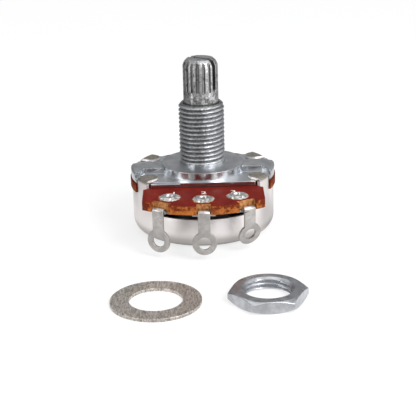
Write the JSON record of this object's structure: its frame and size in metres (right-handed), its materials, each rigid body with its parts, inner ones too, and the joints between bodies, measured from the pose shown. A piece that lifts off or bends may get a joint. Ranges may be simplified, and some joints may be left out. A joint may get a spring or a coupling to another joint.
{
  "type": "rotary potentiometer",
  "caption": "Panel-mount rotary potentiometer with a splined, slotted shaft in a threaded bushing, three solder lugs on a laminate board, a round steel rear cover, and its nut and washer.",
  "frame": {"origin": "on the shaft's axis, in the mounting face that meets the panel", "axes": "+Z out of the panel along the shaft; the terminals point to -Y"},
  "size_m": [0.0302, 0.0526, 0.03],
  "materials": {
    "shaft_metal": "satin, turned",
    "spring_steel": "satin",
    "moulded_black": "matte moulding",
    "bronze": "satin spring sheet",
    "cast_zinc": "bright zinc plate on a die casting",
    "laminate": "glossy resin face with sawn brown edges",
    "carbon_film": "matte print",
    "silver_film": "matte silver print",
    "tinned_sheet": "dull tin plate",
    "tinned_eyelet": "bright tin plate",
    "cover_steel": "bright nickel plate on drawn sheet",
    "nut_metal": "bright zinc plate",
    "washer_metal": "nickel plate with a fine grain"
  },
  "bodies": {
    "housing": {"mounting_plate": "cast_zinc", "thrust_washer": "bronze", "terminal_board": "laminate", "carbon_track": "carbon_film", "track_end_1": "silver_film", "track_end_3": "silver_film", "collector_ring": "bronze", "terminal_1": "tinned_sheet", "terminal_2": "tinned_sheet", "terminal_3": "tinned_sheet", "eyelet_1": "tinned_eyelet", "eyelet_2": "tinned_eyelet", "eyelet_3": "tinned_eyelet", "rear_cover": "cover_steel", "mounting_nut": "nut_metal", "flat_washer": "washer_metal"},
    "shaft_assembly": {"shaft": "shaft_metal", "retaining_ring": "spring_steel", "rotor": "moulded_black", "wiper": "bronze"}
  },
  "joints": [
    {"name": "shaft_turn", "type": "hinge", "parent": "housing", "child": "shaft_assembly", "pos_m": [0, 0, 0], "axis": [0, 0, 1], "range_deg": [-150, 150]}
  ]
}
